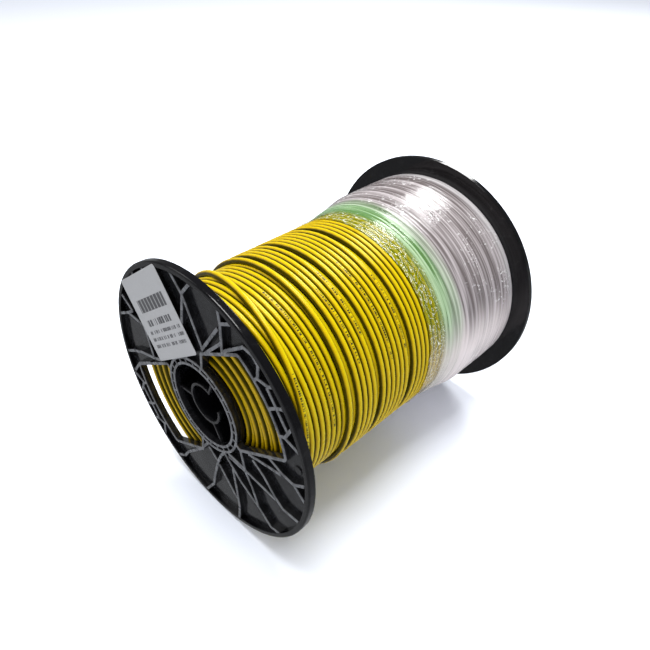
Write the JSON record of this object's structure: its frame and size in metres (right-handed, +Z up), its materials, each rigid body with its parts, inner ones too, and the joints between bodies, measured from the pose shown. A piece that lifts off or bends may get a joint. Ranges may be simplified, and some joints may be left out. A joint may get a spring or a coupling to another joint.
{
  "type": "wire spool",
  "caption": "Plastic spool of insulated building wire, with ribbed, windowed flanges, a split arbor core, stretch film over half of the winding and a paper label.",
  "frame": {"origin": "on the arbor bore's axis, midway between the two flange faces", "axes": "+Y along the bore, from the labelled flange to the wrapped one; +Z up as the spool lies on its rims; +X to the right as seen from the labelled flange"},
  "size_m": [0.165, 0.1972, 0.165],
  "materials": {
    "spool_plastic": "glossy black moulded polystyrene",
    "wire_insulation": "smooth yellow polyethylene insulation",
    "film": "milky clear stretch film with fine ridges",
    "label_paper": "light grey coated paper with dark print bars"
  },
  "bodies": {
    "root": {"front_flange": "spool_plastic", "rear_flange": "spool_plastic", "drum_tube": "spool_plastic", "arbor_core": "spool_plastic", "wire_hidden_layers": "wire_insulation", "wire_ninth_layer": "wire_insulation", "wire_tenth_layer": "wire_insulation", "wire_end_layers": "wire_insulation", "stretch_film": "film", "label": "label_paper"}
  },
  "joints": []
}
